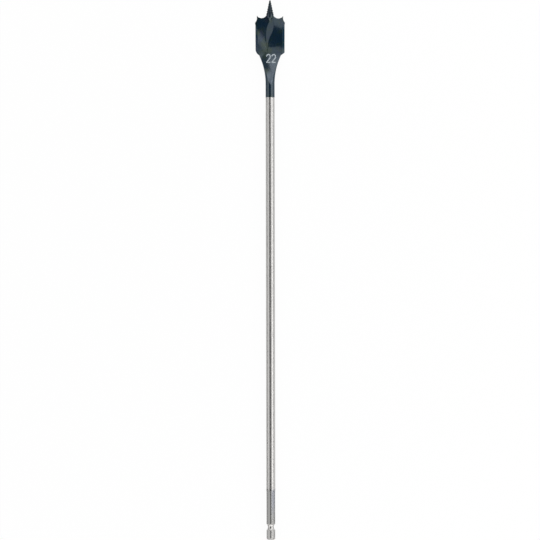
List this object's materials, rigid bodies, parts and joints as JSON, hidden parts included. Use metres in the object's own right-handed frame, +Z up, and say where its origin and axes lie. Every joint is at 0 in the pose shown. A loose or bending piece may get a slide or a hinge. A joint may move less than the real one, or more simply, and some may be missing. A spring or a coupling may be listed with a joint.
{
  "type": "spade drill bit",
  "caption": "Long spade drill bit: a flat contoured paddle with spurs and a threaded screw point on a round shaft with a grooved hex shank, for boring wood.",
  "frame": {"origin": "on the bit's axis, in the middle of the shank's end face", "axes": "+Y along the axis from the shank to the screw point, +Z up with the bit lying at rest, +X to the right when looking along +Y"},
  "size_m": [0.0224, 0.4, 0.0072],
  "materials": {
    "steel": "satin-ground shaft and shank; paddle, neck and screw point coated blue-black"
  },
  "bodies": {
    "root": {"spade_bit": "steel"}
  },
  "joints": []
}
